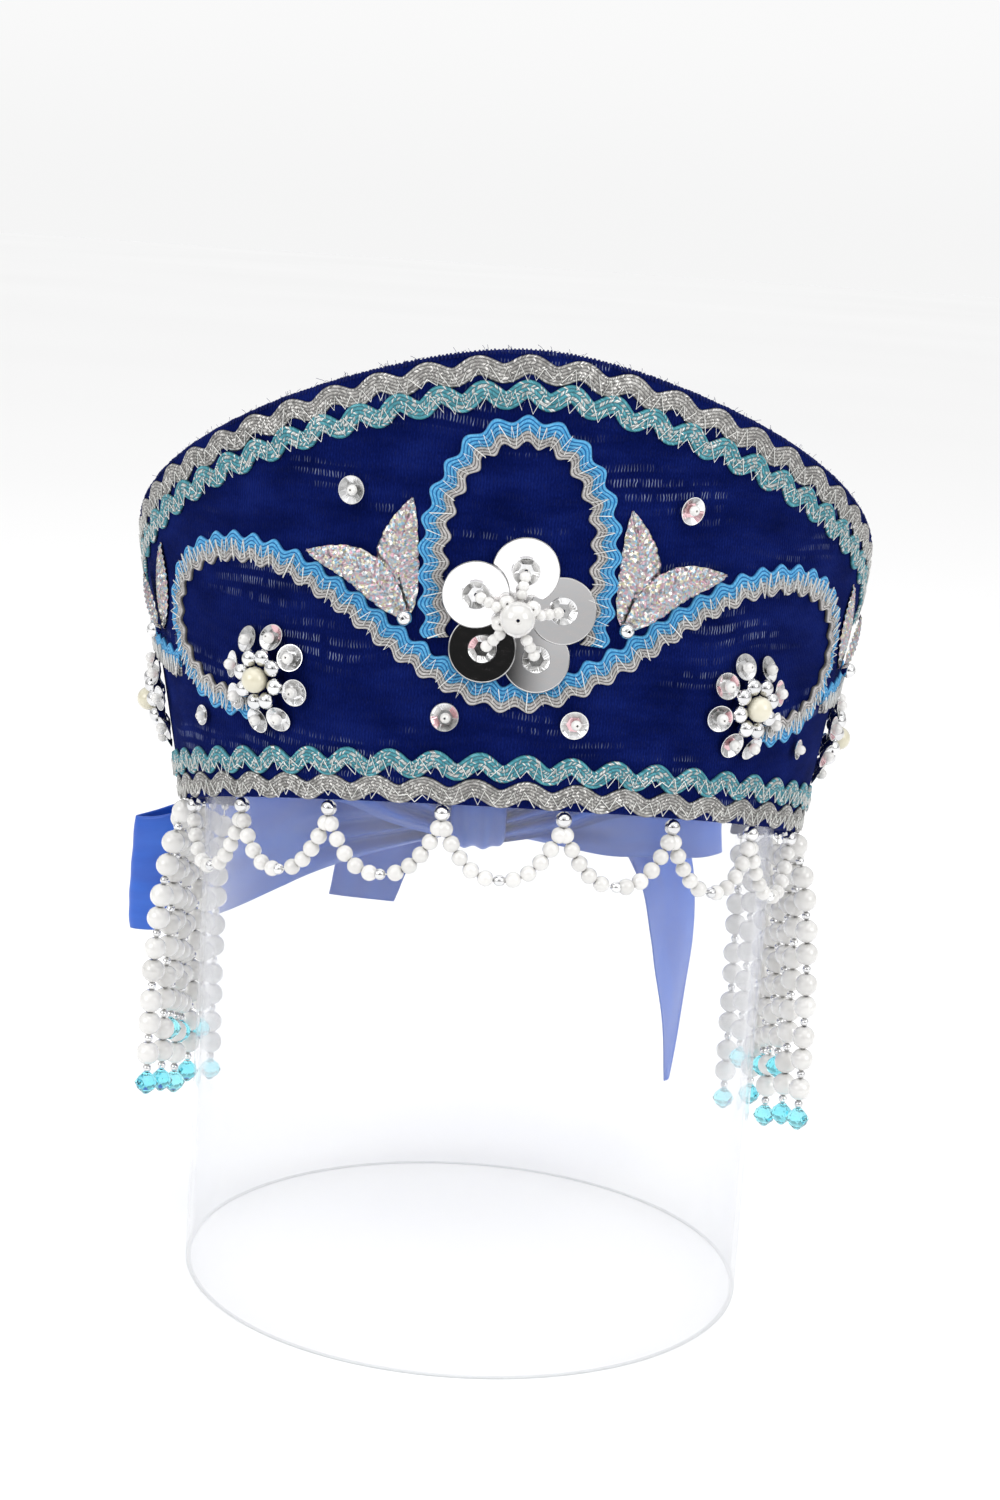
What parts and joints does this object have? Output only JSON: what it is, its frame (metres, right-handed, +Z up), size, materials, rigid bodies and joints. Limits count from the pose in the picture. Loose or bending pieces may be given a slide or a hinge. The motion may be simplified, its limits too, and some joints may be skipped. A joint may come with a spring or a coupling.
{
  "type": "kokoshnik headdress on a clear cylinder stand",
  "caption": "Stiff blue cloth headdress with wavy braid borders, sequin flowers, pearl swags and temple strands, tied with ribbon round a clear tube stand.",
  "frame": {"origin": "on the surface the stand rests on, under the middle of the whole part's box", "axes": "+Z up, the headdress faces -Y, +X to the right of someone looking at its front"},
  "size_m": [0.2138, 0.2102, 0.2776],
  "materials": {
    "clear_stand": "clear rolled plastic sheet",
    "crown_cloth": "deep royal blue pile cloth",
    "silver_braid": "silver metallic thread rickrack",
    "teal_braid": "teal and silver metallic rickrack",
    "blue_braid": "sky blue cotton rickrack",
    "grey_braid": "pale grey cotton rickrack",
    "mirror_sequin": "flat mirror sequin",
    "cup_sequin": "faceted silver cup sequin",
    "foil_leaf": "embossed holographic silver foil",
    "pearl": "imitation pearl",
    "cream_bead": "cream imitation pearl",
    "silver_bead": "silver plated bead",
    "crystal": "aqua cut crystal",
    "ribbon_satin": "royal blue satin ribbon"
  },
  "bodies": {
    "root": {"stand": "clear_stand", "crown_wall": "crown_cloth", "bottom_silver_braid": "silver_braid", "top_silver_braid": "silver_braid", "bottom_teal_braid": "teal_braid", "top_teal_braid": "teal_braid", "rose_pearl": "pearl", "pearl_swags": "pearl", "bow_knot": "ribbon_satin", "bow_loop_left": "ribbon_satin", "bow_loop_right": "ribbon_satin", "bow_tail_left": "ribbon_satin", "bow_tail_right": "ribbon_satin", "arch_blue_braid": "blue_braid", "arch_grey_braid": "grey_braid", "scroll_blue_braid": "blue_braid", "scroll_grey_braid": "grey_braid", "left_side_scroll_blue_braid": "blue_braid", "left_side_scroll_grey_braid": "grey_braid", "right_side_scroll_blue_braid": "blue_braid", "right_side_scroll_grey_braid": "grey_braid", "rose_sequin_1": "mirror_sequin", "rose_sequin_2": "mirror_sequin", "rose_sequin_3": "mirror_sequin", "rose_sequin_4": "mirror_sequin", "rose_sequin_5": "mirror_sequin", "left_front_flower": "cup_sequin", "left_front_leaves": "foil_leaf", "left_side_flower": "cup_sequin", "left_side_leaves": "foil_leaf", "left_upper_sequin": "cup_sequin", "left_lower_sequin": "cup_sequin", "left_side_sequin": "cup_sequin", "left_strand_1": "pearl", "left_strand_2": "pearl", "left_strand_3": "pearl", "left_strand_4": "pearl", "left_strand_5": "pearl", "left_strand_6": "pearl", "left_strand_7": "pearl", "left_strand_8": "pearl", "left_tie": "ribbon_satin", "right_front_flower": "cup_sequin", "right_front_leaves": "foil_leaf", "right_side_flower": "cup_sequin", "right_side_leaves": "foil_leaf", "right_upper_sequin": "cup_sequin", "right_lower_sequin": "cup_sequin", "right_side_sequin": "cup_sequin", "right_strand_1": "pearl", "right_strand_2": "pearl", "right_strand_3": "pearl", "right_strand_4": "pearl", "right_strand_5": "pearl", "right_strand_6": "pearl", "right_strand_7": "pearl", "right_strand_8": "pearl", "right_tie": "ribbon_satin"}
  },
  "joints": []
}
